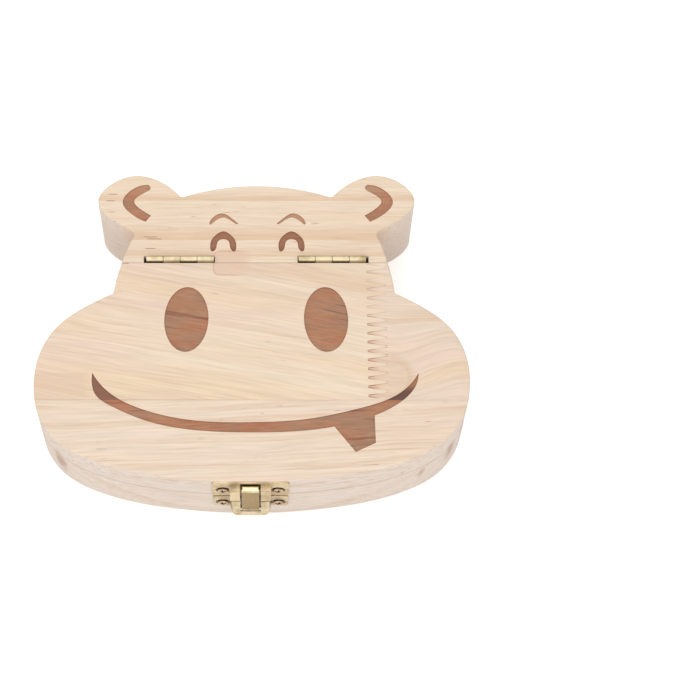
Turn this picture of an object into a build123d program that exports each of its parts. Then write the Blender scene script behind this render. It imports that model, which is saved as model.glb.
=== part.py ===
from build123d import *
import math
import os

# Baby tooth box of pine: a milled tray, a fixed forehead board, a hinged lid and a brass toggle latch
# Lengths in millimetres; +Z is up, the chin points to -Y, and the lid is sawn off at y = 0
# The pieces are moved at the end so that the origin lies under the middle of the whole box

# Boards
base_height = 18.0
lid_height = 12.0
seam_gap = 0.2
saw_gap = 0.15
edge_ease = 0.6
over = 5.0

# Sawn outline, as half widths from the middle line and distances from the saw cut
lean_share = 0.02
brow_rise = 27.6
notch_half, notch_rise = 24.3, 23.4
notch_round = 1.4
ear_half, ear_rise = 51.0, 31.3
cheek_half, cheek_rise = 38.6, 10.6
cheek_round = 1.2
jaw_half = 42.45
neck_half, neck_drop = 44.6, 10.4
neck_round = 0.8
muzzle_half, chin_drop = 68.0, 73.9
chin_flat_depth = 0.4
chin_flat_margin = 1.2
ear_shares = [(0.612, 0.933), (0.753, 1.0), (0.914, 0.912), (1.0, 0.708), (0.94, 0.535), (0.843, 0.43)]
muzzle_shares = [
    (0.816, 0.223), (0.925, 0.315), (0.988, 0.442), (1.0, 0.545),
    (0.982, 0.666), (0.894, 0.804), (0.734, 0.895), (0.485, 0.96), (0.25, 0.988),
]

# Glued joints of the lid
glue_drop = 46.7
finger_first_drop = 3.1
finger_pitch = 3.02
finger_tip = 0.5
finger_x = 35.5
finger_length = 6.0

# Tooth pockets round a dental arch, and three compartments inside it
tooth_count = 20
arch_half_x, arch_half_y = 53.0, 22.5
arch_drop = 39.0
pocket_side = 8.6
pocket_round = 2.0
pocket_floor = 7.0
middle_half_x, middle_half_y = 36.0, 10.4
middle_wall = 2.4
long_width = 8.6

# Burnt face
burn_depth = 0.35
face_x, face_lean_share = 0.7, 0.01
nostril_x, nostril_drop = 22.0, 19.5
nostril_rx, nostril_ry, nostril_tilt = 6.95, 11.1, 2.0
eye_x, eye_top = 10.9, 11.15
eye_half, eye_height = 4.17, 7.05
eye_outer_shares = [(0.955, 0.94), (1.0, 0.69), (0.855, 0.38), (0.65, 0.225), (0.44, 0.11)]
eye_inner_shares = [(0.66, 0.95), (0.55, 0.845), (0.4, 0.497)]
eye_foot_share, eye_inner_share = 0.815, 0.38
brow_x, brow_foot = 10.8, 13.64
brow_half, brow_height = 4.7, 3.9
brow_upper_shares = [(1.0, 0.08), (0.83, 0.52), (0.5, 0.87), (0.1, 1.0), (-0.3, 0.79), (-0.99, 0.09)]
brow_lower_shares = [(-0.872, 0.014), (-0.255, 0.52), (0.043, 0.63), (0.32, 0.53), (0.894, -0.03)]
smile_half, smile_tip_drop = 50.85, 37.7
smile_inner_drop, smile_width = 54.1, 3.4
smile_inner_shares = {
    -1: [(0.882, 0.431), (0.677, 0.754), (0.365, 0.968)],
    1: [(0.87, 0.437), (0.62, 0.732), (0.322, 0.933)],
}
smile_outer_shares = {
    -1: [(0.363, 0.963), (0.676, 0.796), (0.87, 0.574), (0.98, 0.357), (1.002, 0.167)],
    1: [(0.393, 0.94), (0.686, 0.757), (0.9, 0.463), (0.976, 0.241)],
}
fang = [(23.9, 54.9), (30.9, 63.9), (37.1, 60.9), (36.9, 51.5)]
mark_y = 21.0
mark_outer = [(36.2, 27.75), (40.4, 26.2), (43.5, 21.6), (40.4, 17.2), (36.0, 14.6)]
mark_inner = [(34.3, 16.8), (38.0, 19.3), (39.8, 22.0), (37.9, 24.1), (35.35, 25.65)]

# Brass hinges, folded in the saw cut with their barrels just above the wood
hinge_shift, hinge_x = 0.45, 24.2
hinge_length = 21.4
knuckle_count = 4
knuckle_gap = 0.2
barrel_radius = 0.97
barrel_gap = 0.36
leaf_thickness = 0.6
leaf_foot = 4.2
axis_height = 0.4
pin_radius = 0.55
pin_play = 0.05
hinge_screw_x = 6.6
seat_play = 0.3
outer_seat_play = 0.9

# Screws
head_radius = 1.7
head_height = 0.9
head_edge, head_dome = 0.5, 0.45
shank_radius = 0.8
screw_length = 5.5
hinge_head_radius = 1.3
hinge_shank_radius = 0.6
cross_length, cross_width, cross_depth = 1.9, 0.42, 0.45

# Toggle latch on the flat of the chin; out is measured from the wood, heights from the tray's top
latch_shift = 0.3
plate_thickness = 0.5
plate_round = 0.9
dimple_radius, dimple_depth = 2.1, 0.2
keeper_width = 23.6
keeper_low, keeper_high = 0.5, 11.85
keeper_screw_x, keeper_screw_z = 8.5, 5.7
lip_in, lip_out = 1.675, 2.075
lip_high, lip_low = 9.5, 4.6
slot_half, slot_floor = 3.0, 8.3
lip_ramp = 2.0
cheek_plate_half = 6.4
ramp_high, ramp_low, ramp_top_out, ramp_out, ramp_nose = 8.5, 1.0, 2.2, 2.75, 0.5
base_plate_width = 23.2
base_plate_low, base_plate_high = -9.2, -0.3
base_screw_x, base_screw_z = 8.7, -5.8
lever_out, lever_z = 2.15, -1.0
lever_half, lever_sheet = 6.45, 0.5
lever_round, lever_back_round = 1.35, 1.3
lever_corner = 2.6
lever_top_angle = 75.0
knee_z, knee_in = -6.0, 0.05
bill_z, bill_flare = -9.5, 0.15
window_half, window_low = 3.2, -6.5
link_out, link_z = 2.2, -5.6
link_half, link_sheet, link_corner = 2.7, 0.45, 0.6
link_roll, link_pin_radius = 0.85, 0.4
hook_out, hook_z, hook_roll, hook_tip = 1.65, 9.7, 1.025, 0.5
tab_radius = 1.0
lug_half, lug_thickness, lug_radius = 4.2, 0.6, 0.75
lug_low, lug_high = -4.0, -2.1
rivet_radius, rivet_head, rivet_head_height = 0.4, 0.75, 0.2
rivet_tail = 0.3
latch_play = 0.05

# Worked-out places
box_height = base_height + lid_height
latch_x = latch_shift - lean_share * chin_drop
chin_y = -chin_drop + chin_flat_depth
axis_y = barrel_gap + barrel_radius
axis_z = box_height + axis_height
lid_bottom = base_height + seam_gap
leaf_low = base_height + leaf_foot
leaf_shoulder = axis_z - barrel_radius - seat_play
smile_outer_drop = smile_inner_drop + smile_width


def lean(side, x, y):
    """A point of the outline: the halves mirror each other about a line that leans by lean_share."""
    return Vector(side * x + lean_share * y, y)


def corner(face, point, radius):
    """The face with its vertex at a point rounded."""
    return fillet([v for v in face.vertices() if (Vector(v) - point).length < edge_ease], radius)


def outline():
    sides, muzzles, corners = [], [], []
    for side in (1, -1):
        notch, cheek = lean(side, notch_half, notch_rise), lean(side, cheek_half, cheek_rise)
        neck = lean(side, neck_half, -neck_drop)
        sides.append(Spline(notch, *[lean(side, ear_half * a, ear_rise * b) for a, b in ear_shares], cheek))
        sides.append(ThreePointArc(cheek, lean(side, jaw_half, 0), neck))
        muzzles.append([neck] + [lean(side, muzzle_half * a, -chin_drop * b) for a, b in muzzle_shares])
        corners += [(notch, notch_round), (cheek, cheek_round), (neck, neck_round)]
    muzzle = Spline(*muzzles[0], lean(1, 0, -chin_drop), *muzzles[1][::-1])
    brow_line = ThreePointArc(corners[0][0], Vector(0, brow_rise), corners[3][0])
    face = make_face(sides + [muzzle, brow_line])
    for point, radius in corners:
        face = corner(face, point, radius)
    return face


def slab(face, low, high):
    return extrude(Pos(0, 0, low) * face, high - low)


def chin_flat():
    """What the chin loses to the flat that the latch is screwed to."""
    half = keeper_width / 2 + chin_flat_margin
    return block(latch_x - half, latch_x + half, chin_y - over, chin_y, -over, box_height + over)


def block(x0, x1, y0, y1, z0, z1):
    return Pos((x0 + x1) / 2, (y0 + y1) / 2, (z0 + z1) / 2) * Box(x1 - x0, y1 - y0, z1 - z0)


def rod(radius, x0, x1, y, z):
    """A round bar along X."""
    return Pos((x0 + x1) / 2, y, z) * Rot(0, 90, 0) * Cylinder(radius, x1 - x0)


def outer_edges(solid, height):
    """The edges of the sawn outline in the plane z = height."""
    flat = solid.faces().filter_by(Axis.Z).sort_by(Axis.Z)[-1 if height > 0 else 0]
    return flat.outer_wire().edges()


# Burnt face: each function gives the flat shapes for both sides

def face_middle(y):
    """The face's middle line at a distance from the saw cut; it leans a little, as the outline does."""
    return face_x + face_lean_share * y


def shared(x, y, width, height, shares):
    return [(x + width * a, y + height * b) for a, b in shares]


def eye():
    """An arch that thins towards its two feet."""
    sides = [shared(0, eye_top, s * eye_half, -eye_height, eye_outer_shares) for s in (-1, 1)]
    outer = Spline(*sides[0], (0, eye_top), *sides[1][::-1])
    sides = [shared(0, eye_top, s * eye_half, -eye_height, eye_inner_shares) for s in (-1, 1)]
    inner = Spline(*sides[1], (0, eye_top - eye_height * eye_inner_share), *sides[0][::-1])
    foot = eye_half * eye_foot_share
    right = ThreePointArc(outer @ 1, (foot, eye_top - eye_height), inner @ 0)
    left = ThreePointArc(inner @ 1, (-foot, eye_top - eye_height), outer @ 0)
    return make_face([outer, right, inner, left])


def brow(side):
    """A thin arch whose outer half is the rounder one."""
    upper = Spline(*shared(0, brow_foot, side * brow_half, brow_height, brow_upper_shares))
    lower = Spline(*shared(0, brow_foot, side * brow_half, brow_height, brow_lower_shares))
    return make_face([upper, Line(upper @ 1, lower @ 0), lower, Line(lower @ 1, upper @ 0)])


def ear_mark(side):
    outer = Spline(*[(side * x, y) for x, y in mark_outer])
    inner = Spline(*[(side * x, y) for x, y in mark_inner])
    start, stop = outer @ 0, inner @ 1
    across = start - stop
    cap = ThreePointArc(stop, (start + stop) / 2 + Vector(-side * across.Y, side * across.X) / 2, start)
    return make_face([outer, Line(outer @ 1, inner @ 0), inner, cap])


def smile():
    """A crescent, a little thinner on the right than on the left."""
    deep_in = smile_inner_drop - smile_tip_drop
    deep_out = smile_outer_drop - smile_tip_drop
    inner = {s: shared(0, -smile_tip_drop, s * smile_half, -deep_in, smile_inner_shares[s]) for s in (-1, 1)}
    outer = {s: shared(0, -smile_tip_drop, s * smile_half, -deep_out, smile_outer_shares[s]) for s in (-1, 1)}
    tips = {s: (s * smile_half, -smile_tip_drop) for s in (-1, 1)}
    upper = Spline(tips[1], *inner[1], (0, -smile_inner_drop), *inner[-1][::-1], tips[-1])
    lower = Spline(tips[-1], *outer[-1][::-1], (0, -smile_outer_drop), *outer[1], tips[1])
    return make_face([upper, lower])


def burnt_shapes():
    mouth = Pos(face_middle(-smile_tip_drop), 0)
    shapes = [mouth * smile(), mouth * make_face(Polyline(*[(x, -y) for x, y in fang], close=True))]
    for side in (-1, 1):
        nostril = Rot(0, 0, side * nostril_tilt) * Ellipse(nostril_rx, nostril_ry)
        shapes.append(Pos(face_middle(-nostril_drop) + side * nostril_x, -nostril_drop) * nostril)
        shapes.append(Pos(face_middle(eye_top) + side * eye_x, 0) * eye())
        shapes.append(Pos(face_middle(brow_foot) + side * brow_x, 0) * brow(side))
        shapes.append(Pos(face_middle(mark_y), 0) * ear_mark(side))
    return shapes


def burn(solid):
    for shape in burnt_shapes():
        solid -= extrude(Pos(0, 0, box_height - burn_depth) * shape, burn_depth + over)
    return solid


# Screws point along -Z here, with the face of the head at z = 0

def screw(radius, shank, length, edge, dome):
    core = Pos(0, 0, -head_height / 2) * Cone(shank, radius, head_height)
    core += Pos(0, 0, -length / 2) * Cylinder(shank, length - shank * 2)
    core += Pos(0, 0, -length + shank) * Rot(180, 0, 0) * Cone(shank, shank / 4, shank * 2)
    if edge:
        core += Pos(0, 0, edge / 2) * Cylinder(radius, edge)
    if dome:
        ball = (radius * radius + dome * dome) / (2 * dome)
        cap = (Pos(0, 0, dome - ball) * Sphere(ball)) & (Pos(0, 0, dome / 2) * Cylinder(radius, dome))
        core += Pos(0, 0, edge) * cap
    return core


def cross_slot(height):
    bars = Box(cross_length, cross_width, 2 * cross_depth) + Box(cross_width, cross_length, 2 * cross_depth)
    return Pos(0, 0, height) * bars


def placed_screws(places, turn, radius, shank, length, edge, dome):
    """Screws at their places, and the same bodies without slots to cut their holes with."""
    holes = [Pos(*p) * turn * screw(radius, shank, length, edge, dome) for p in places]
    slots = [Pos(*p) * turn * Rot(0, 0, 20 + 50 * i) * cross_slot(edge + dome) for i, p in enumerate(places)]
    return Compound([(h - s).solid() for h, s in zip(holes, slots)]), holes


def cut(solid, tools):
    for tool in tools:
        solid -= tool
    return solid


def one_side(side):
    return "right" if side > 0 else "left"


# Hinges

def hinge_middle(side):
    return hinge_shift + side * hinge_x


def knuckle_spans(side):
    """The X spans of the barrel's knuckles from left to right; even ones belong to the forehead's leaf."""
    start = hinge_middle(side) - hinge_length / 2
    pitch = (hinge_length + knuckle_gap) / knuckle_count
    return [(start + i * pitch, start + (i + 1) * pitch - knuckle_gap) for i in range(knuckle_count)]


def leaf_front(fixed):
    return axis_y + barrel_radius - leaf_thickness if fixed else 0


def hinge_leaf(side, fixed):
    """The forehead's leaf stands behind the barrel and the lid's leaf in front of it, against the wood."""
    x0, x1 = hinge_middle(side) - hinge_length / 2, hinge_middle(side) + hinge_length / 2
    y0 = leaf_front(fixed)
    y1 = y0 + leaf_thickness
    leaf = block(x0, x1, y0, y1, leaf_low, leaf_shoulder)
    slant = barrel_radius * math.sqrt(0.5)
    low = leaf_shoulder - leaf_thickness
    neck = [(y0, axis_z), (y1, axis_z)]
    if not fixed:
        neck = [(y0, box_height), (axis_y - slant, axis_z + slant), (axis_y, axis_z)]
    section = make_face(Polyline((0, y0, low), *[(0, y, z) for y, z in neck], (0, y1, low), close=True))
    for a, b in knuckle_spans(side)[0 if fixed else 1::2]:
        leaf += extrude(Pos(a, 0, 0) * section, b - a, dir=(1, 0, 0))
        leaf += rod(barrel_radius, a, b, axis_y, axis_z)
    return leaf - rod(pin_radius + pin_play, x0 - over, x1 + over, axis_y, axis_z)


def hinge_seat(side):
    """What the forehead loses to a hinge: a step for the leaf and a groove for the barrel."""
    inner, outer = hinge_length / 2 + seat_play, hinge_length / 2 + outer_seat_play
    x0, x1 = [hinge_middle(side) + d for d in ((-inner, outer) if side > 0 else (-outer, inner))]
    leaf_back = axis_y + barrel_radius
    step = block(x0, x1, -over, leaf_back, leaf_low - seat_play, axis_z + over)
    return step + rod(barrel_radius + seat_play, x0, x1, axis_y, axis_z)


def hinge_screws(side, fixed):
    z = (leaf_low + leaf_shoulder) / 2
    y = leaf_front(fixed) + (0 if fixed else leaf_thickness)
    places = [(hinge_middle(side) + s * hinge_screw_x, y, z) for s in (-1, 1)]
    turn = Rot(90 if fixed else -90, 0, 0)
    return placed_screws(places, turn, hinge_head_radius, hinge_shank_radius, screw_length, 0, 0)


# Latch: profiles lie in the plane (out, z) and are drawn out along X

def chin(out, z):
    """A point of a latch profile, on the plane x = 0."""
    return Vector(0, chin_y - out, base_height + z)


def profile(points):
    return make_face(Polyline(*[chin(o, z) for o, z in points], close=True))


def drawn(face, x0, x1):
    """A face of the plane x = 0 drawn out along X between two places counted from the latch's middle."""
    return extrude(Pos(latch_x + x0, 0, 0) * face, x1 - x0, dir=(1, 0, 0))


def disc(radius, out, z):
    return Pos(*chin(out, z)) * Rot(0, 90, 0) * Circle(radius)


def latch_rod(radius, x0, x1, out, z):
    return rod(radius, latch_x + x0, latch_x + x1, chin_y - out, base_height + z)


def plate(width, low, high):
    middle = Pos(latch_x, chin_y, base_height + (low + high) / 2)
    return extrude(middle * Rot(90, 0, 0) * RectangleRounded(width, high - low, plate_round), plate_thickness)


def latch_screws(x, z):
    """Two screws and the round dimples in the plate that their heads sit in."""
    seat_y = chin_y - plate_thickness + dimple_depth
    places = [(latch_x + s * x, seat_y, base_height + z) for s in (-1, 1)]
    turn = Rot(90, 0, 0)
    dimples = [Pos(*p) * turn * Pos(0, 0, over / 2) * Cylinder(dimple_radius, over) for p in places]
    screws, holes = placed_screws(places, turn, head_radius, shank_radius, screw_length, head_edge, head_dome)
    return screws, holes, dimples


def keeper():
    body = plate(keeper_width, keeper_low, keeper_high)
    body += drawn(profile([
        (0, lip_high), (lip_out, lip_high), (lip_out, lip_low), (plate_thickness, lip_low - lip_ramp),
        (0, lip_low - lip_ramp),
    ]), -cheek_plate_half, cheek_plate_half)
    ramp = profile([
        (0, ramp_high), (ramp_top_out, ramp_high), (ramp_out, ramp_low + ramp_nose),
        (ramp_out - ramp_nose, ramp_low), (0, ramp_low),
    ])
    for side in (-1, 1):
        ends = sorted((side * window_half, side * cheek_plate_half))
        body += drawn(ramp, *ends)
    slot = profile([
        (plate_thickness, slot_floor), (lip_in, slot_floor),
        (lip_in, keeper_high + over), (plate_thickness, keeper_high + over),
    ])
    body -= drawn(slot, -slot_half, slot_half)
    return body


def base_plate():
    body = plate(base_plate_width, base_plate_low, base_plate_high)
    slant = lug_radius * math.sqrt(0.5)
    neck = profile([
        (0, lug_low), (0, lug_high), (lever_out - slant, lever_z - slant), (lever_out, lever_z),
        (lever_out, lever_z - lug_radius),
    ])
    for side in (-1, 1):
        ends = sorted((side * lug_half, side * (lug_half + lug_thickness)))
        body += drawn(neck, *ends)
        body += latch_rod(lug_radius, *ends, lever_out, lever_z)
        body -= latch_rod(rivet_radius, ends[0] - latch_play, ends[1] + latch_play, lever_out, lever_z)
    return body


def lever_points(inset):
    """Front of the lever from its top to its bill, inset by a sheet's thickness."""
    radius = lever_round - inset
    a = math.radians(lever_top_angle)
    half = math.radians(lever_top_angle / 2)
    top = (lever_out + radius * math.cos(a), lever_z + radius * math.sin(a))
    shoulder = (lever_out + radius * math.cos(half), lever_z + radius * math.sin(half))
    front = (lever_out + radius, lever_z)
    knee = (lever_out + radius - knee_in, knee_z)
    bill = (lever_out + radius + bill_flare, bill_z)
    return top, shoulder, front, knee, bill


def lever_section(inset, back_low, back_high):
    top, shoulder, front, knee, bill = [chin(*p) for p in lever_points(inset)]
    edges = [ThreePointArc(top, shoulder, front), Line(front, knee), Line(knee, bill)]
    edges += Polyline(bill, *[chin(*p) for p in back_low + back_high], top).edges()
    return make_face(edges)


def lever_plan(inset):
    """An upright bar whose rounded front corners shape the lever as seen from above."""
    half, front = lever_half - inset, lever_out + lever_round + bill_flare + latch_play - inset
    shape = RectangleRounded(2 * half, front + over, lever_corner - inset)
    low, high = bill_z - over, lever_z + lever_round + over
    return extrude(Pos(latch_x, chin_y - (front - over) / 2, base_height + low) * shape, high - low)


def lever():
    bill_back = lever_out + lever_round + bill_flare - lever_sheet
    outer = lever_section(
        0,
        [(bill_back, bill_z), (lever_out, knee_z)],
        [(lever_out - lever_back_round, lever_z)],
    )
    hollow = lever_section(
        lever_sheet,
        [(bill_back, bill_z - over), (-over, bill_z - over)],
        [(-over, lever_z + lever_round)],
    )
    body = drawn(outer, -lever_half, lever_half)
    cheeks = [sorted((side * (lever_half - lever_sheet), side * lever_half)) for side in (-1, 1)]
    for ends in cheeks:
        body += latch_rod(lever_back_round, *ends, lever_out, lever_z)
    body &= lever_plan(0)
    body -= drawn(hollow, cheeks[0][1], cheeks[1][0]) & lever_plan(lever_sheet)
    window = profile([
        (0, window_low), (lever_out + lever_round + over, window_low),
        (lever_out + lever_round + over, lever_z + lever_round + over), (0, lever_z + lever_round + over),
    ])
    body -= drawn(window, -window_half, window_half)
    for side in (-1, 1):
        ends = sorted((side * window_half, side * (window_half + lever_sheet)))
        body += latch_rod(tab_radius, *ends, link_out, link_z)
        body -= latch_rod(link_pin_radius, ends[0] - latch_play, ends[1] + latch_play, link_out, link_z)
        ends = sorted((side * lug_half, side * (lever_half + latch_play)))
        body -= latch_rod(rivet_radius + latch_play, *ends, lever_out, lever_z)
    return body


def link():
    strap = profile([
        (hook_out + hook_roll - link_sheet, hook_z), (hook_out + hook_roll, hook_z),
        (link_out + link_roll, link_z), (link_out + link_roll - link_sheet, link_z),
    ])
    tip = profile([
        (hook_out - hook_roll, hook_z - hook_tip), (hook_out - hook_roll, hook_z),
        (hook_out - hook_roll + link_sheet, hook_z), (hook_out - hook_roll + link_sheet, hook_z - hook_tip),
    ])
    upper = profile([
        (hook_out - over, hook_z), (hook_out + over, hook_z),
        (hook_out + over, hook_z + over), (hook_out - over, hook_z + over),
    ])
    hook = drawn(disc(hook_roll, hook_out, hook_z), -link_half, link_half)
    hook -= drawn(disc(hook_roll - link_sheet, hook_out, hook_z), -link_half, link_half)
    hook &= drawn(upper, -link_half, link_half)
    body = hook + drawn(strap, -link_half, link_half) + drawn(tip, -link_half, link_half)
    body += latch_rod(link_roll, -link_half, link_half, link_out, link_z)
    low, high = link_z - link_roll, hook_z + hook_roll
    front = Rot(90, 0, 0) * RectangleRounded(2 * link_half, high - low, link_corner)
    body &= extrude(Pos(latch_x, chin_y + over, base_height + (low + high) / 2) * front, 3 * over)
    bore = link_pin_radius + latch_play
    return body - latch_rod(bore, -link_half - over, link_half + over, link_out, link_z)


def rivets():
    parts = []
    for side in (-1, 1):
        tail, face = lug_half - rivet_tail, lever_half + latch_play
        ends = sorted((side * tail, side * face))
        shank = latch_rod(rivet_radius, *ends, lever_out, lever_z)
        ends = sorted((side * face, side * (face + rivet_head_height)))
        head = latch_rod(rivet_head, *ends, lever_out, lever_z)
        parts.append((shank + head).solid())
    return Compound(parts)


# Wood

def arch_places():
    """The middles of the tooth pockets, evenly spaced along an ellipse."""
    arch = Pos(0, -arch_drop) * Wire(Edge.make_ellipse(arch_half_x, arch_half_y))
    return [arch @ ((i + 0.5) / tooth_count) for i in range(tooth_count)]


def compartments():
    """Middles and sizes of the long compartment and the two below it."""
    low_width = 2 * middle_half_y - middle_wall - long_width
    half = middle_half_x - middle_wall / 2
    low_y = -arch_drop - middle_half_y + low_width / 2
    boxes = [(0, -arch_drop + middle_half_y - long_width / 2, 2 * middle_half_x, long_width)]
    boxes += [(s * (middle_half_x + middle_wall / 2) / 2, low_y, half, low_width) for s in (-1, 1)]
    return boxes


def base_tray(face, holes):
    tray = slab(face, 0, base_height)
    tray = fillet(outer_edges(tray, 0), edge_ease) - chin_flat()
    pocket = RectangleRounded(pocket_side, pocket_side, pocket_round)
    hollows = [Pos(p.X, p.Y) * pocket for p in arch_places()]
    hollows += [Pos(x, y) * RectangleRounded(w, h, pocket_round) for x, y, w, h in compartments()]
    for hollow in hollows:
        tray -= extrude(Pos(0, 0, pocket_floor) * hollow, base_height)
    return cut(tray, holes)


def upper_slab(face):
    solid = slab(face, base_height, box_height)
    return fillet(outer_edges(solid, box_height), edge_ease) - chin_flat()


def forehead_board(solid, holes):
    reach = muzzle_half + over
    board = solid & block(-reach, reach, saw_gap, ear_rise + over, base_height - over, box_height + over)
    for side in (-1, 1):
        board -= hinge_seat(side)
    return burn(cut(board, holes))


def comb():
    """The side board's plan: tapered fingers towards the main board."""
    half = (finger_pitch - finger_tip) / 2
    root = finger_x + finger_length
    points = [(root, over)]
    for i in range(int((glue_drop - finger_first_drop) // finger_pitch) + 1):
        y = -finger_first_drop - finger_pitch * i
        points += [(root, y + half), (finger_x, y + finger_tip / 2)]
        points += [(finger_x, y - finger_tip / 2), (root, y - half)]
    points += [(root, -glue_drop), (muzzle_half + over, -glue_drop), (muzzle_half + over, over)]
    return slab(make_face(Polyline(*points, close=True)), base_height, box_height + over)


def lid_boards(solid, holes):
    reach = muzzle_half + over
    lid = solid & block(-reach, reach, -chin_drop - over, 0, lid_bottom, box_height + over)
    lid = burn(cut(lid, holes))
    front = lid & block(-reach, reach, -chin_drop - over, -glue_drop, base_height, box_height + over)
    back = lid & block(-reach, reach, -glue_drop, over, base_height, box_height + over)
    fingers = comb()
    return {"lid_main_board": back - fingers, "lid_side_board": back & fingers, "lid_front_board": front}


def main():
    nodes = {}
    wood_holes = {"forehead": [], "lid": [], "base": []}
    for side in (-1, 1):
        name = one_side(side) + "_hinge_"
        for fixed, board in ((True, "forehead"), (False, "lid")):
            screws, holes = hinge_screws(side, fixed)
            nodes[name + board + "_leaf"] = cut(hinge_leaf(side, fixed), holes)
            nodes[name + board + "_screws"] = screws
            wood_holes[board] += holes
        ends = hinge_middle(side) - hinge_length / 2, hinge_middle(side) + hinge_length / 2
        nodes[name + "pin"] = rod(pin_radius, *ends, axis_y, axis_z)

    screws, holes, dimples = latch_screws(keeper_screw_x, keeper_screw_z)
    nodes["latch_keeper"] = cut(keeper(), holes + dimples)
    nodes["latch_keeper_screws"] = screws
    wood_holes["lid"] += holes
    screws, holes, dimples = latch_screws(base_screw_x, base_screw_z)
    nodes["latch_base_plate"] = cut(base_plate(), holes + dimples)
    nodes["latch_base_screws"] = screws
    wood_holes["base"] += holes
    nodes["latch_lever"] = lever()
    nodes["latch_lever_rivets"] = rivets()
    nodes["latch_link"] = link()
    pin_half = window_half + lever_sheet
    nodes["latch_link_pin"] = latch_rod(link_pin_radius, -pin_half, pin_half, link_out, link_z)

    face = outline()
    upper = upper_slab(face)
    nodes["base_tray"] = base_tray(face, wood_holes["base"])
    nodes["forehead_board"] = forehead_board(upper, wood_holes["forehead"])
    nodes.update(lid_boards(upper, wood_holes["lid"]))

    boxes = [shape.bounding_box() for shape in nodes.values()]
    middle_x = (min(b.min.X for b in boxes) + max(b.max.X for b in boxes)) / 2
    middle_y = (min(b.min.Y for b in boxes) + max(b.max.Y for b in boxes)) / 2
    os.makedirs("parts", exist_ok=True)
    for name, shape in nodes.items():
        export_step(shape.moved(Location((-middle_x, -middle_y, 0))), f"parts/{name}.step")


main()
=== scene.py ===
import math
import bmesh
import bpy
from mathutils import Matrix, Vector

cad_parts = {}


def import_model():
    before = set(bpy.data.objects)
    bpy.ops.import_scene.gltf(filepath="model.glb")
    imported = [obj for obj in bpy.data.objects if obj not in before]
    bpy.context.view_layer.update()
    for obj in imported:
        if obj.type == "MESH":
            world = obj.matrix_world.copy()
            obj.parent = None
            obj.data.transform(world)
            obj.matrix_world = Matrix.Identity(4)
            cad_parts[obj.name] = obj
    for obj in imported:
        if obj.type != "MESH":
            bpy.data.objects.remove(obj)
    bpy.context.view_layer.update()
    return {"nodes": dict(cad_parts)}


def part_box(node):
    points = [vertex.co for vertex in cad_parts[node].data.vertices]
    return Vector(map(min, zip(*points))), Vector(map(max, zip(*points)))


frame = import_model()

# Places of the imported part, in metres
MM = 0.001
SAW_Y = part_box("lid_main_board")[1][1]
GLUE_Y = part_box("lid_front_board")[1][1]
TOP_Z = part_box("forehead_board")[1][2]
SEAM_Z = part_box("base_tray")[1][2]
FINGER_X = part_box("lid_side_board")[0][0]
LATCH_X = (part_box("latch_keeper")[0][0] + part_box("latch_keeper")[1][0]) / 2
KEEPER_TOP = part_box("latch_keeper")[1][2]
LINK_LOW, LINK_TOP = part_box("latch_link")[0][2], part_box("latch_link")[1][2]
BARREL_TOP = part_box("left_hinge_lid_leaf")[1][2]

# Sizes of the joint and the marks in the wood
FINGER_FIRST = 3.1 * MM
FINGER_PITCH = 3.02 * MM
FINGER_LENGTH = 6 * MM
FINGER_TIP = 0.5 * MM
BURN_DEPTH = 0.35 * MM
RASTER_PITCH = 0.52 * MM
KNOT_SIZE = 5.4 * MM
KNOT_REACH = 24 * MM
KNOT_BEND = 7 * MM
SPOT_FLATTEN = 0.35
DASH_FADE = 0.9 * MM
FILLER_LEFT, FILLER_RIGHT = -12.5 * MM, 1.2 * MM
FILLER_HALF = 4.2 * MM
FILLER_CORNER = 2.4 * MM
SPLIT_X = -40.6 * MM

# Burnt marks: heights above the saw cut and above the glue line, and where the smile's tips begin
FEET_LOW, FEET_TOP = 2 * MM, 6.5 * MM
EYES_TOP = 13.2 * MM
BROWS_MIDDLE, BROWS_HALF = 15.8 * MM, 2.6 * MM
EARS_LOW, EARS_HIGH = 22 * MM, 27 * MM
TIP_X = 39 * MM
LEFT_TIP_HIGH, RIGHT_TIP_HIGH = 15 * MM, 6 * MM

# Sizes on the latch
LINK_HALF = 3.15 * MM
LINK_ROLL = 1.9 * MM
LINK_SLOT_HALF = 1.9 * MM
DIMPLE_RIM = 2 * MM
HEAD_RIM = 1.5 * MM
SLOT_REACH, SLOT_HALF = 1.05 * MM, 0.28 * MM

# Colours as they look under plain light
PALE = (242, 222, 198)
GREY_PALE = (236, 216, 196)
FRONT_PALE = (240, 220, 199)
SAWN = (243, 229, 218)
LID_BAND = (228, 198, 170)
FOREHEAD_BAND = (230, 199, 167)
PINK = (238, 212, 192)
HONEY = (240, 214, 183)
KNOT = (222, 190, 160)
KNOT_HEART = (240, 217, 192)
SPOT = (190, 152, 130)
DASH = (150, 96, 72)
# painted shade along the seam between tray and lid
SEAM_SHADE = (170, 134, 114)
FILLER = (231, 199, 174)
FILLER_EDGE = (211, 164, 138)
DARK_FLECK = (176, 138, 112)
END_GRAIN = (236, 219, 205)
GLUE_LINE = (158, 112, 84)
RED_GLUE = (216, 160, 134)
SPLIT = (150, 110, 90)
BURN_MID = (180, 130, 101)
BURN_GREY = (171, 131, 106)
BURN_RED = (186, 122, 91)
BURN_DARK = (122, 78, 60)
BURN_LIGHT = (206, 164, 132)
BURN_EYE = (154, 108, 85)
BURN_TIP = (134, 94, 80)
BURN_UNDER = (196, 122, 90)
BURN_SOOT = (108, 78, 70)
# brown of painted shade on the brass
BRASS_SHADE = (74, 56, 38)
# painted shade and dark reflection on the latch link's strap
STRAP_SHADE = (133, 101, 21)
WHITE = (255, 255, 255)
BLACK = (0, 0, 0)
FLOOR_GREY = (226, 226, 226)

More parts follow.
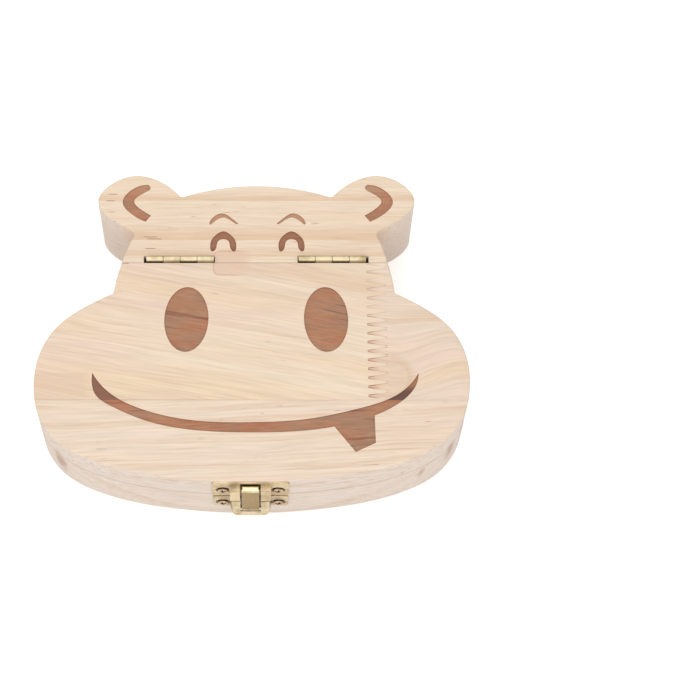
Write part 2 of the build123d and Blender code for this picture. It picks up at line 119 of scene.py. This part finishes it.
# Light and camera; lengths of the camera in millimetres, its shifts in picture widths
WORLD_LEVEL = 0.68
FLOOR_HALF = 1.5
FLOOR_DROP = 0.02 * MM
FLOOR_LIFT = 0.35
LENS, SENSOR = 113.1, 36
SHIFT_X, SHIFT_Y = 0.1146, 0.0059
CAMERA_RISE = math.radians(67.547)
CAMERA_DISTANCE = 688.08
CAMERA_AIM = (5.573, -31.37, 30)
CLIP_START = 0.01


def linear(colour):
    """An 8-bit screen colour as the linear RGBA that shaders take."""
    parts = [c / 255 for c in colour]
    return [c / 12.92 if c <= 0.04045 else ((c + 0.055) / 1.055) ** 2.4 for c in parts] + [1]


class Graph:
    """A node tree, built with short calls that take numbers, colours or other nodes' outputs."""

    def __init__(self, tree):
        self.tree = tree

    def feed(self, socket, value):
        if isinstance(value, bpy.types.NodeSocket):
            self.tree.links.new(value, socket)
        else:
            socket.default_value = value

    def put(self, kind, inputs, **settings):
        node = self.tree.nodes.new("ShaderNode" + kind)
        for key, value in settings.items():
            setattr(node, key, value)
        for key, value in inputs.items():
            self.feed(node.inputs[key], value)
        return node

    def math(self, operation, a, b=0.0):
        return self.put("Math", {0: a, 1: b}, operation=operation).outputs[0]

    def minus(self, a, b):
        return self.math("SUBTRACT", a, b)

    def total(self, *values):
        result = values[0]
        for value in values[1:]:
            result = self.math("ADD", result, value)
        return result

    def product(self, *values):
        result = values[0]
        for value in values[1:]:
            result = self.math("MULTIPLY", result, value)
        return result

    def step(self, value, low, high):
        """0 up to low, 1 from high, smooth between them; low may be the larger one."""
        span = {"Value": value, "From Min": low, "From Max": high}
        return self.put("MapRange", span, interpolation_type="SMOOTHSTEP").outputs["Result"]

    def near(self, value, middle, half, soft):
        """1 where value lies within half of middle, fading out over soft."""
        gap = self.math("ABSOLUTE", self.minus(value, middle))
        return self.step(gap, half + soft, half)

    def between(self, value, low, high, soft):
        """1 from low to high, fading out over soft beyond them."""
        return self.near(value, (low + high) / 2, (high - low) / 2, soft)

    def partly(self, mask, share):
        """A mask that takes away only a share where it is 0."""
        return self.total(self.product(mask, share), 1 - share)

    def distance(self, place, middle):
        squares = [self.math("POWER", self.minus(v, m), 2) for v, m in zip(place, middle)]
        return self.math("SQRT", self.total(*squares))

    def chance(self, value):
        """A random number from 0 to 1 for each whole step of the value."""
        whole = self.math("FLOOR", value)
        return self.put("TexWhiteNoise", {"W": whole}, noise_dimensions="1D").outputs["Value"]

    def mix(self, share, a, b):
        colours = [linear(c) if isinstance(c, tuple) else c for c in (a, b)]
        node = self.put("Mix", {0: share, 6: colours[0], 7: colours[1]}, data_type="RGBA")
        return node.outputs[2]

    def shade(self, colour, factor):
        """A colour made brighter or darker by a factor."""
        node = self.put("VectorMath", {0: colour, "Scale": factor}, operation="SCALE")
        return node.outputs["Vector"]

    def axes(self, vector):
        return self.put("SeparateXYZ", {0: vector}).outputs[0:3]

    def vector(self, x, y, z):
        return self.put("CombineXYZ", {0: x, 1: y, 2: z}).outputs[0]

    def noise(self, place, scales, seed, detail=2.0, rough=0.5):
        """Noise with its own scale along each axis, as features per metre."""
        offset = (seed * 1.37, seed * 2.11, seed * 0.73)
        moved = self.put("Mapping", {"Vector": place, "Location": offset, "Scale": scales})
        inputs = {"Vector": moved.outputs[0], "Scale": 1.0, "Detail": detail, "Roughness": rough}
        return self.put("TexNoise", inputs).outputs[0]

    def swing(self, place, scales, seed, width):
        """Noise that goes to both sides of zero, over a width."""
        return self.product(self.minus(self.noise(place, scales, seed), 0.5), width)

    def bump(self, height, strength, distance):
        return self.put("Bump", {"Height": height, "Strength": strength, "Distance": distance}).outputs[0]

    def seen(self):
        """1 for rays from the camera, from reflections and through clear things."""
        rays = self.put("LightPath", {}).outputs
        direct = self.math("MAXIMUM", rays["Is Camera Ray"], rays["Is Glossy Ray"])
        return self.math("MAXIMUM", direct, rays["Is Transmission Ray"])


class Material(Graph):
    """A material with the place and the direction of its surface."""

    def __init__(self, name):
        self.material = bpy.data.materials.new(name)
        self.material.use_nodes = True
        super().__init__(self.material.node_tree)
        self.shader = self.tree.nodes["Principled BSDF"]
        coords = self.put("TexCoord", {})
        self.place = coords.outputs["Object"]
        self.x, self.y, self.z = self.axes(self.place)
        self.nx, _, self.nz = self.axes(coords.outputs["Normal"])

    def give(self, **values):
        """Shader inputs by name, with an underscore for each space."""
        for name, value in values.items():
            self.feed(self.shader.inputs[name.replace("_", " ")], value)


# Wood

class Board(Material):
    """Pine with its grain along X, and the fields that its rings and marks share."""

    def __init__(self, name, seed, slope, knot):
        super().__init__(name)
        self.seed = seed
        self.ripple = self.swing(self.place, (45, 160, 160), seed + 3, 1.3 * MM)
        wave = self.swing(self.place, (9, 26, 26), seed, 8 * MM)
        self.lie = self.total(self.y, self.product(self.x, -slope), wave, self.ripple)
        if knot:
            self.from_knot = self.distance((self.x, self.y), knot)
            bend = self.product(self.step(self.from_knot, KNOT_REACH, 2 * MM), KNOT_BEND)
            self.lie = self.total(self.lie, bend)
        self.grain = self.vector(self.x, self.lie, self.z)
        self.zone = self.noise(self.place, (10, 34, 34), seed + 11, 1.0)
        self.length_fade = self.step(self.noise(self.place, (16, 90, 90), seed + 7, 1.0), 0.35, 0.65)
        self.upright = self.step(self.math("ABSOLUTE", self.nz), 0.7, 0.3)
        self.top = self.step(self.nz, 0.5, 0.9)


def rings(b, heart, ring, strength, stripes):
    """Late wood of the growth rings, and of the broad bands where rings are cut flat."""
    radius = b.distance((b.lie, b.z), heart)
    spread = b.product(b.noise(b.vector(b.seed, radius, 0), (1, 90, 1), b.seed + 5), 3)
    turns = b.total(b.math("DIVIDE", radius, ring), spread)
    share = b.math("FRACT", turns)
    late = b.product(b.step(share, 0.3, 0.85), b.step(share, 1.0, 0.88))
    late = b.product(late, b.partly(b.chance(turns), 0.8), b.partly(b.length_fade, 0.8), strength)
    flow = b.total(b.y, b.product(b.ripple, 0.5))
    for soft_y, sharp_y, force in stripes:
        edge = math.copysign(0.35 * MM, sharp_y - soft_y)
        stripe = b.product(b.step(flow, soft_y, sharp_y), b.step(flow, sharp_y + edge, sharp_y), force)
        late = b.math("MAXIMUM", late, stripe)
    return late


def ground(b, pale, zones):
    """Pale ground with pinkish and honey zones, greyer on the sawn walls."""
    colour = b.mix(b.product(b.step(b.zone, 0.42, 0.72), zones), pale, PINK)
    honey = b.step(b.noise(b.grain, (10, 90, 90), b.seed + 13, 1.0), 0.46, 0.7)
    colour = b.mix(b.product(honey, zones), colour, HONEY)
    return b.mix(b.product(b.upright, 0.8), colour, SAWN)


def knot_mark(b, colour):
    """A brown ring with a pale heart."""
    around = b.total(b.math("DIVIDE", b.from_knot, KNOT_SIZE), b.product(b.minus(b.zone, 0.5), 0.8))
    colour = b.mix(b.product(b.step(around, 1.7, 1.05), 0.6), colour, KNOT)
    return b.mix(b.product(b.step(around, 1.06, 0.98), 0.45), colour, KNOT_HEART)


def fine_grain(b, colour, band, fine, lines, fibre):
    """Thin lines along the grain, the fibre's light and dark, and a few short dark flecks."""
    some = b.step(b.noise(b.place, (18, 60, 60), b.seed + 15, 1.0), 0.3, 0.7)
    force = b.total(b.product(some, fine), 0.1)
    colour = b.mix(b.product(b.step(lines, 0.53, 0.66), force), colour, band)
    colour = b.shade(colour, b.total(b.product(b.minus(fibre, 0.5), 0.42), 1.0))
    fleck = b.noise(b.grain, (170, 1500, 1500), b.seed + 19, 1.0)
    rare = b.step(b.noise(b.place, (30, 60, 60), b.seed + 23, 1.0), 0.5, 0.68)
    return b.mix(b.product(b.step(fleck, 0.69, 0.77), rare, 0.8), colour, DARK_FLECK)


def end_grain(b, colour, late, band):
    """Rings and upright ticks where a wall cuts across the grain."""
    end = b.product(b.step(b.math("ABSOLUTE", b.nx), 0.3, 1.0), b.upright, 0.75)
    ticks = b.noise(b.place, (900, 900, 70), b.seed + 29)
    cut = b.shade(b.mix(late, END_GRAIN, band), b.total(b.product(ticks, 0.22), 0.89))
    return b.mix(end, colour, cut)


def wall_marks(b, colour, spots):
    """Dark places in the side walls, and painted shade along the seam between tray and lid."""
    for (spot_x, spot_y, spot_z), reach in spots:
        flat = (b.x, b.y, b.product(b.z, SPOT_FLATTEN))
        gap = b.distance(flat, (spot_x, spot_y, spot_z * SPOT_FLATTEN))
        uneven = b.total(b.minus(b.zone, 0.5), b.noise(b.place, (500, 500, 300), b.seed + 21))
        gap = b.total(gap, b.product(uneven, reach))
        colour = b.mix(b.product(b.step(gap, reach * 1.6, reach * 0.5), 0.8), colour, SPOT)
    # painted shade: the walls darken just above and below the seam between tray and lid, where shade falls
    # into the gap
    seam = b.product(b.near(b.z, SEAM_Z, 0.08 * MM, 0.3 * MM), b.upright)
    seam = b.product(seam, b.step(b.y, SAW_Y, SAW_Y - 2 * MM), 0.45)
    return b.mix(seam, colour, SEAM_SHADE)


def finger_marks(b, colour):
    """Dark glue along the slanted sides of the finger joint, strongest at the tips."""
    place = b.total(b.product(b.minus(SAW_Y - FINGER_FIRST, b.y), 1 / FINGER_PITCH), 0.5)
    off = b.product(b.math("ABSOLUTE", b.minus(b.math("FRACT", place), 0.5)), FINGER_PITCH)
    one = b.chance(place)
    along = b.minus(b.x, FINGER_X)
    growth = (FINGER_PITCH / 2 - FINGER_TIP) / FINGER_LENGTH
    side = b.minus(off, b.total(FINGER_TIP / 2, b.product(along, growth)))
    within = b.product(b.step(along, -0.15 * MM, 0), b.step(along, FINGER_LENGTH + 0.3 * MM, FINGER_LENGTH))
    patchy = b.step(b.noise(b.place, (230, 500, 60), 31, 1.0), 0.35, 0.6)
    tips = b.total(b.step(along, 4 * MM, 0), b.product(b.step(along, 5 * MM, FINGER_LENGTH), 0.3))
    low = b.step(b.y, SAW_Y - 8 * MM, GLUE_Y + 12 * MM)
    force = b.total(b.product(one, 0.35), b.product(low, 0.55), 0.12)
    force = b.product(force, b.total(tips, b.product(patchy, 0.4)))
    line = b.product(b.step(b.math("ABSOLUTE", side), 0.22 * MM, 0.04 * MM), within, force)
    fill = b.product(b.step(side, 0.05 * MM, -0.05 * MM), b.step(along, 5.5 * MM, 0), within)
    fill = b.product(fill, b.total(b.product(low, one, 0.5), 0.25))
    colour = b.mix(fill, colour, RED_GLUE)
    return b.mix(b.math("MINIMUM", line, 0.95), colour, GLUE_LINE)


def filler_marks(b, colour):
    """A pinkish filled place across the saw cut beside the left hinge, and a short split left of it."""
    wobble = b.swing(b.place, (350, 350, 1), 53, 0.9 * MM)
    left, right = FILLER_LEFT + FILLER_CORNER, FILLER_RIGHT - 3.5 * MM
    half = FILLER_HALF - FILLER_CORNER
    dx = b.math("MAXIMUM", b.minus(left, b.x), b.minus(b.x, right))
    dy = b.math("MAXIMUM", b.minus(SAW_Y - half, b.y), b.minus(b.y, SAW_Y + half))
    corner = b.distance([b.math("MAXIMUM", v, 0.0) for v in (dx, dy)], (0, 0))
    edge = b.minus(b.total(corner, wobble), FILLER_CORNER)
    inside = b.product(b.step(edge, 0.15 * MM, -0.15 * MM), b.step(b.x, FILLER_RIGHT, FILLER_RIGHT - 5 * MM))
    colour = b.mix(b.product(inside, 0.75), colour, FILLER)
    reach = b.step(b.x, FILLER_RIGHT - 3 * MM, FILLER_RIGHT - 7 * MM)
    rim = b.product(b.near(edge, 0, 0.1 * MM, 0.2 * MM), reach, 0.6)
    colour = b.mix(rim, colour, FILLER_EDGE)
    split = b.product(b.near(b.x, SPLIT_X, 1.1 * MM, 0.4 * MM), b.near(b.y, SAW_Y, 0.12 * MM, 0.08 * MM))
    return b.mix(split, colour, SPLIT)


def top_marks(b, colour, band, patches, fingers, dashes):
    """What shows on the top face: filler, darker patches, the glue line, finger joint and short dashes."""
    marked = filler_marks(b, colour)
    flow = b.total(b.y, b.product(b.ripple, 0.5))
    for x0, x1, y0, y1 in patches:
        patch = b.product(b.between(b.x, x0, x1, 4 * MM), b.between(flow, y0, y1, MM), 0.5)
        marked = b.mix(patch, marked, band)
    glue = b.product(b.near(b.y, GLUE_Y, 0.05 * MM, 0.25 * MM), b.length_fade, 0.28)
    marked = b.mix(glue, marked, GLUE_LINE)
    if fingers:
        marked = finger_marks(b, marked)
    level = b.total(b.y, b.product(b.ripple, 0.3))
    for x0, x1, rise in dashes:
        along = b.between(b.x, x0 + DASH_FADE, x1 - DASH_FADE, DASH_FADE)
        dash = b.product(along, b.near(level, SAW_Y + rise, 0.04 * MM, 0.12 * MM), 0.95)
        marked = b.mix(dash, marked, DASH)
    return b.mix(b.top, colour, marked)


def burnt_mask(b):
    """1 on the floors and walls of the burnt recesses in the top face."""
    low = TOP_Z - BURN_DEPTH
    floor = b.product(b.near(b.z, low, 0.03 * MM, 0.02 * MM), b.step(b.nz, 0.8, 0.95))
    wall = b.product(b.step(b.z, low - 0.02 * MM, low), b.step(b.nz, 0.4, 0.2))
    away = b.minus(1.0, b.near(b.y, SAW_Y + MM, 3 * MM, 0.1 * MM))
    return b.math("MAXIMUM", floor, b.product(wall, away))


def char_texture(b):
    """Brown of a laser burn: cloudy, with a few thin dark streaks along the grain and fine raster dots."""
    cloud = b.noise(b.place, (60, 150, 150), b.seed + 41)
    warm = b.noise(b.place, (90, 260, 260), b.seed + 43)
    char = b.mix(b.step(cloud, 0.42, 0.62), BURN_MID, BURN_GREY)
    char = b.mix(b.product(b.step(warm, 0.48, 0.68), 0.6), char, BURN_RED)
    flat = b.vector(b.x, b.lie, 0)
    fine = b.noise(flat, (160, 1600, 1), b.seed + 37, 3.0, 0.65)
    char = b.shade(char, b.total(b.product(b.minus(fine, 0.5), 0.7), 1.0))
    streak = b.noise(flat, (45, 800, 1), b.seed + 39)
    char = b.mix(b.product(b.step(streak, 0.6, 0.68), 0.6), char, BURN_DARK)
    dots = b.product(*[b.math("SINE", b.product(v, 2 * math.pi / RASTER_PITCH)) for v in (b.x, b.y)])
    places = b.step(b.noise(b.place, (110, 260, 260), b.seed + 47, 1.0), 0.55, 0.65)
    return b.mix(b.product(b.step(dots, 0.2, 0.8), places, 0.7), char, BURN_LIGHT)


def burnt(b):
    """The burn with darker eyes, darker tips of the smile above the glue line, paler brows and ears."""
    char = char_texture(b)
    rise, over_glue = b.minus(b.y, SAW_Y), b.minus(b.y, GLUE_Y)
    eyes = b.product(b.step(rise, EYES_TOP, EYES_TOP - 0.8 * MM), b.step(rise, 0, MM), 0.65)
    char = b.mix(eyes, char, BURN_EYE)
    above = b.product(b.step(over_glue, -0.1 * MM, 0.1 * MM),
                      b.step(over_glue, LEFT_TIP_HIGH, LEFT_TIP_HIGH - 9 * MM))
    left_tip = b.step(b.x, 3 * MM - TIP_X, -TIP_X)
    char = b.mix(b.product(above, left_tip, 0.75), char, BURN_TIP)
    right_tip = b.product(b.step(b.x, TIP_X, TIP_X + 4 * MM),
                          b.step(over_glue, RIGHT_TIP_HIGH, RIGHT_TIP_HIGH - 3.5 * MM))
    char = b.mix(b.product(above, right_tip, 0.9), char, BURN_SOOT)
    under = b.product(b.step(over_glue, 0.1 * MM, -0.1 * MM), b.step(over_glue, -8 * MM, -2 * MM))
    char = b.mix(b.product(under, left_tip, 0.4), char, BURN_UNDER)
    feet = b.product(b.step(rise, FEET_TOP, FEET_TOP - 2.5 * MM), b.step(rise, FEET_LOW, FEET_LOW + MM), 0.55)
    char = b.mix(feet, char, BURN_DARK)
    brows = b.product(b.near(rise, BROWS_MIDDLE, BROWS_HALF, 0.3 * MM), b.near(b.x, 0.8 * MM, 18 * MM, MM))
    char = b.mix(b.product(brows, 0.6), char, BURN_LIGHT)
    return b.mix(b.product(b.step(rise, EARS_LOW, EARS_HIGH), 0.45), char, BURN_LIGHT)


def wood(name, seed, slope, heart, ring, band, strength, pale=PALE, zones=0.8, fine=0.45, fingers=False,
         knot=None, stripes=(), spots=(), dashes=(), patches=()):
    """A pine board. slope is the grain's rise along X, heart the (y, z) middle of the growth rings, ring
    their spacing, strength how much of the band's colour they take, zones the share of pinkish and honey
    wood, fine the share of thin dark lines and knot the (x, y) of a knot that bends the grain around it.
    A stripe is a broad band as its soft edge, its sharp edge (both y) and its strength, a spot a dark
    place in a side wall as its middle and reach, a dash a short dark line as its two x and its height
    above the saw cut, and a patch a darker place as its two x and two y limits."""
    b = Board(name, seed, slope, knot)
    late = rings(b, heart, ring, strength, stripes)
    lines = b.noise(b.grain, (22, 1100, 1100), seed + 16)
    fibre = b.noise(b.grain, (70, 1500, 1500), seed + 17, 3.0, 0.65)
    colour = ground(b, pale, zones)
    if knot:
        colour = knot_mark(b, colour)
    colour = fine_grain(b, b.mix(late, colour, band), band, fine, lines, fibre)
    colour = end_grain(b, colour, late, band)
    colour = wall_marks(b, colour, spots)
    colour = top_marks(b, colour, band, patches, fingers, dashes)
    charred = burnt_mask(b)
    height = b.total(b.product(fibre, 0.6), b.product(late, -0.5), b.product(charred, lines, 0.6))
    b.give(Base_Color=b.mix(charred, colour, burnt(b)),
           Roughness=b.total(0.5, b.product(fibre, 0.16), b.product(charred, 0.2)),
           Specular_IOR_Level=0.2,
           Normal=b.bump(height, 0.35, 0.12 * MM))
    return b.material


# Brass

def brass(name, seed, bright, dull, rough, scratch, edges=0.0, shade=None, shade_colour=BRASS_SHADE):
    """Brass plate. edges darkens what faces sideways with painted shade, and shade gives a mask of where
    painted shade covers the part.
    """
    g = Material(name)
    cloud = g.noise(g.place, (170, 170, 170), seed, 3.0, 0.6)
    speck = g.noise(g.place, (1700, 1700, 1700), seed + 5)
    colour = g.mix(g.step(cloud, 0.35, 0.7), bright, dull)
    colour = g.shade(colour, g.total(g.product(speck, 0.24), 0.88))
    if edges:
        # painted shade on faces that turn sideways, where the gaps between parts lie in shade
        sideways = g.step(g.math("ABSOLUTE", g.nx), 0.6, 0.95)
        colour = g.mix(g.product(sideways, edges), colour, BRASS_SHADE)
    # painted shade where the part's own mask lies
    if shade:
        colour = g.mix(shade(g), colour, shade_colour)
    lines = g.noise(g.place, (2600, 240, 240), seed + 9)
    g.give(Base_Color=colour,
           Metallic=1.0,
           Roughness=g.total(rough, g.product(cloud, 0.16), g.product(speck, 0.05)),
           Normal=g.bump(g.total(lines, speck), scratch, 0.03 * MM))
    return g.material


def behind_link(g):
    """The narrow strip beside and behind the link, which takes painted shade as if in the gaps."""
    return g.near(g.x, LATCH_X, LINK_HALF, 0.1 * MM)


def screw_axes():
    """The (x, z) places of the latch's four screws, each with the turn of its crossed slots."""
    places = []
    for node in ("latch_keeper_screws", "latch_base_screws"):
        low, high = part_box(node)
        reach = (high[2] - low[2]) / 2
        for i, middle_x in enumerate((low[0] + reach, high[0] - reach)):
            places.append(((middle_x, low[2] + reach), math.radians(20 + 50 * i)))
    return places


def from_screws(g):
    """The distance to the nearest axis of the latch's screws."""
    nearest = 1.0
    for middle, _ in screw_axes():
        nearest = g.math("MINIMUM", nearest, g.distance((g.x, g.z), middle))
    return nearest


def crosses(g):
    """The crossed slots of the latch's screws."""
    result = 0.0
    for middle, turn in screw_axes():
        du, dv = g.minus(g.x, middle[0]), g.minus(g.z, middle[1])
        along = g.total(g.product(du, math.cos(turn)), g.product(dv, math.sin(turn)))
        across = g.total(g.product(du, -math.sin(turn)), g.product(dv, math.cos(turn)))
        for one, other in ((along, across), (across, along)):
            bar = g.product(g.near(one, 0, SLOT_REACH, 0.1 * MM), g.near(other, 0, SLOT_HALF, 0.08 * MM))
            result = g.math("MAXIMUM", result, bar)
    return result


def dimple_rims(g):
    """The edges of the dimples that the latch's screws sit in, darkened as painted shade in the recesses."""
    return g.product(g.near(from_screws(g), DIMPLE_RIM, 0.2 * MM, 0.15 * MM), 0.6)


def plate_shade(g):
    # painted shade behind the link and in the screws' dimples
    return g.math("MAXIMUM", behind_link(g), dimple_rims(g))


def keeper_shade(g):
    """Painted shade in the keeper's opening below its bridge, and in the screws' dimples."""
    below = g.step(g.z, KEEPER_TOP - 0.75 * MM, KEEPER_TOP - 1.0 * MM)
    return g.math("MAXIMUM", g.product(below, behind_link(g), 0.75), dimple_rims(g))


def link_shade(g):
    """Painted shade and reflection: the strap below the bright roll darkened as if reflecting darker
    surroundings, the crease between them, the roll's lower fold and the pin's slot in shade.
    """
    crease_z = LINK_TOP - LINK_ROLL
    # painted dark reflection on the strap, painted shade in the crease, fold and slot
    strap = g.product(g.step(g.z, crease_z, crease_z - 0.4 * MM), 0.92)
    crease = g.product(g.near(g.z, crease_z, 0.25 * MM, 0.3 * MM), 0.97)
    fold = g.product(g.step(g.z, LINK_TOP - 0.3 * MM, LINK_TOP - 0.55 * MM), 0.32)
    slot = g.product(g.near(g.z, LINK_LOW + 0.45 * MM, 0.15 * MM, 0.2 * MM),
                     g.near(g.x, LATCH_X, LINK_SLOT_HALF, 0.2 * MM), 0.7)
    return g.math("MAXIMUM", g.math("MAXIMUM", strap, crease), g.math("MAXIMUM", fold, slot))


def screw_shade(g):
    """Painted shade in the rims of the screw heads and in their crossed slots."""
    rim = g.step(from_screws(g), HEAD_RIM, HEAD_RIM + 0.12 * MM)
    return g.math("MAXIMUM", g.product(rim, 0.75), g.product(crosses(g), 0.92))


def barrel_shade(g):
    """Painted shade on the lower halves of the barrels, down in their groove."""
    return g.product(g.step(g.z, BARREL_TOP - 0.55 * MM, BARREL_TOP - 1.1 * MM), 0.75)


def dress(material, *nodes):
    """The CAD nodes keep their shapes and take the material."""
    for node in nodes:
        slots = frame["nodes"][node].data.materials
        slots.clear()
        slots.append(material)


# Scene around the part

def floor_material():
    """White to the camera and in reflections, greyer as a source of light, with the part's shadow kept."""
    g = Material("floor_white")
    seen = g.seen()
    grain = g.noise(g.place, (40, 40, 40), 3)
    g.give(Base_Color=g.shade(g.mix(seen, FLOOR_GREY, WHITE), g.total(g.product(grain, 0.01), 0.99)),
           Emission_Color=g.mix(seen, BLACK, WHITE),
           Emission_Strength=FLOOR_LIFT,
           Roughness=0.9,
           Specular_IOR_Level=0.1)
    return g.material


def floor():
    shape = bmesh.new()
    bmesh.ops.create_grid(shape, x_segments=1, y_segments=1, size=FLOOR_HALF)
    mesh = bpy.data.meshes.new("floor")
    shape.to_mesh(mesh)
    shape.free()
    mesh.materials.append(floor_material())
    piece = bpy.data.objects.new("floor", mesh)
    piece.location = (0, 0, -FLOOR_DROP)
    bpy.context.scene.collection.objects.link(piece)


def lamp(name, place, size, power):
    """A soft square lamp that faces the part."""
    light = bpy.data.lights.new(name, "AREA")
    light.size = size
    light.energy = power
    piece = bpy.data.objects.new(name, light)
    piece.location = place
    piece.rotation_euler = (-Vector(place)).to_track_quat("-Z", "Y").to_euler()
    bpy.context.scene.collection.objects.link(piece)


def world(strength):
    """Even light of a strength, which shows as white."""
    sky = bpy.data.worlds.new("studio")
    sky.use_nodes = True
    g = Graph(sky.node_tree)
    back = g.tree.nodes["Background"]
    span = {"Value": g.seen(), "To Min": strength, "To Max": 1.0}
    g.feed(back.inputs["Strength"], g.put("MapRange", span).outputs["Result"])
    back.inputs["Color"].default_value = (1, 1, 1, 1)
    bpy.context.scene.world = sky


def camera():
    """The photograph's view: from in front and 67.5 degrees above, with the part left of the middle."""
    lens = bpy.data.cameras.new("camera")
    lens.sensor_width = SENSOR
    lens.lens = LENS
    lens.shift_x = SHIFT_X
    lens.shift_y = SHIFT_Y
    lens.clip_start = CLIP_START
    aim = Vector(CAMERA_AIM) * MM + Vector((0, SAW_Y, 0))
    away = Vector((0, -math.cos(CAMERA_RISE), math.sin(CAMERA_RISE)))
    piece = bpy.data.objects.new("camera", lens)
    piece.location = aim + away * CAMERA_DISTANCE * MM
    piece.rotation_euler = (math.pi / 2 - CAMERA_RISE, 0, 0)
    bpy.context.scene.collection.objects.link(piece)
    bpy.context.scene.camera = piece


bpy.context.scene.view_settings.view_transform = "Standard"
camera()
floor()
world(WORLD_LEVEL)
lamp("key", (-0.3, 0.15, 1.2), 1.1, 4.2)
lamp("front", (0.1, -1.0, 0.6), 1.0, 2.8)

# Boards
FOREHEAD_STRIPES = [
    (SAW_Y + 25.9 * MM, SAW_Y + 22.3 * MM, 0.85),
    (SAW_Y + 15 * MM, SAW_Y + 8.3 * MM, 0.95),
    (SAW_Y + 7 * MM, SAW_Y + 2.5 * MM, 0.7),
    (SAW_Y + 20 * MM, SAW_Y + 17.3 * MM, 0.15),
]
FOREHEAD_DASHES = [
    (-46.8 * MM, -43.2 * MM, 24.5 * MM),
    (-47.5 * MM, -43.9 * MM, 22.1 * MM),
    (-46.5 * MM, -43.8 * MM, 12.2 * MM),
    (-35.2 * MM, -30.1 * MM, 9.2 * MM),
    (-34 * MM, -28.6 * MM, 8.5 * MM),
    (-34.6 * MM, -30.5 * MM, 5.1 * MM),
]
WALL_SPOTS = [
    ((62.8 * MM, -35 * MM, 15 * MM), 3.2 * MM),
    ((66 * MM, -28.5 * MM, 20 * MM), 2.2 * MM),
    ((-64.5 * MM, -28 * MM, 19 * MM), 2.2 * MM),
    ((-60.5 * MM, -37.5 * MM, 13 * MM), 3.2 * MM),
    ((53.3 * MM, -42 * MM, 13 * MM), 1.9 * MM),
]
MAIN_PATCHES = [(-75 * MM, -53 * MM, GLUE_Y + 0.5 * MM, GLUE_Y + 8.5 * MM)]
SIDE_KNOT = (43.5 * MM, SAW_Y - 39 * MM)

dress(wood("pine_tray", 2, 0.02, (15 * MM, -30 * MM), 5.2 * MM, LID_BAND, 0.5, spots=WALL_SPOTS), "base_tray")
dress(wood("pine_forehead", 5, 0.0, (75 * MM, -20 * MM), 6.1 * MM, FOREHEAD_BAND, 0.3,
           zones=0.35, stripes=FOREHEAD_STRIPES, dashes=FOREHEAD_DASHES), "forehead_board")
dress(wood("pine_main", 8, -0.2, (50 * MM, -40 * MM), 4.6 * MM, LID_BAND, 0.75,
           fingers=True, spots=WALL_SPOTS, patches=MAIN_PATCHES), "lid_main_board")
dress(wood("pine_side", 11, -0.05, (40 * MM, -35 * MM), 4.0 * MM, LID_BAND, 0.8,
           pale=GREY_PALE, fine=0.85, fingers=True, knot=SIDE_KNOT), "lid_side_board")
dress(wood("pine_front", 14, 0.03, (-120 * MM, -20 * MM), 4.2 * MM, LID_BAND, 0.8,
           pale=FRONT_PALE, zones=0.4, fine=0.75, spots=WALL_SPOTS), "lid_front_board")

# Hinges and latch
LEAVES = [n for n in frame["nodes"] if n.endswith("_leaf")]
DARK_PINS = [n for n in frame["nodes"] if n.endswith("_pin")] + ["latch_lever_rivets"]
HINGE_SCREWS = [n for n in frame["nodes"] if n.endswith(("hinge_forehead_screws", "hinge_lid_screws"))]

# The brass parts are one brass in lighter and darker tones that stand in for how light falls on each, painted
# light and shade: the lever lighter, the link's roll brightest.
dress(brass("hinge_brass", 3, (210, 195, 162), (172, 153, 116), 0.3, 0.25, 0.8, barrel_shade), *LEAVES)
dress(brass("pin_brass", 5, (150, 128, 92), (110, 90, 62), 0.35, 0.2), *DARK_PINS)
dress(brass("hinge_screw_brass", 6, (196, 174, 132), (160, 138, 100), 0.3, 0.2), *HINGE_SCREWS)
dress(brass("keeper_brass", 7, (216, 197, 162), (180, 160, 128), 0.5, 0.5, 0.5, keeper_shade), "latch_keeper")
dress(brass("base_plate_brass", 9, (214, 195, 160), (170, 149, 116), 0.32, 0.5, 0.5, plate_shade),
      "latch_base_plate")
dress(brass("lever_brass", 11, (222, 207, 176), (176, 158, 121), 0.54, 0.3, 0.6), "latch_lever")
# the link's bright tone is a painted highlight on its roll; its strap takes painted shade and reflection
dress(brass("link_brass", 13, (244, 236, 204), (216, 201, 160), 0.18, 0.3, 0.85, link_shade, STRAP_SHADE),
      "latch_link")
dress(brass("copper_screws", 15, (206, 176, 148), (152, 122, 98), 0.36, 0.3, 0.0, screw_shade),
      "latch_keeper_screws", "latch_base_screws")
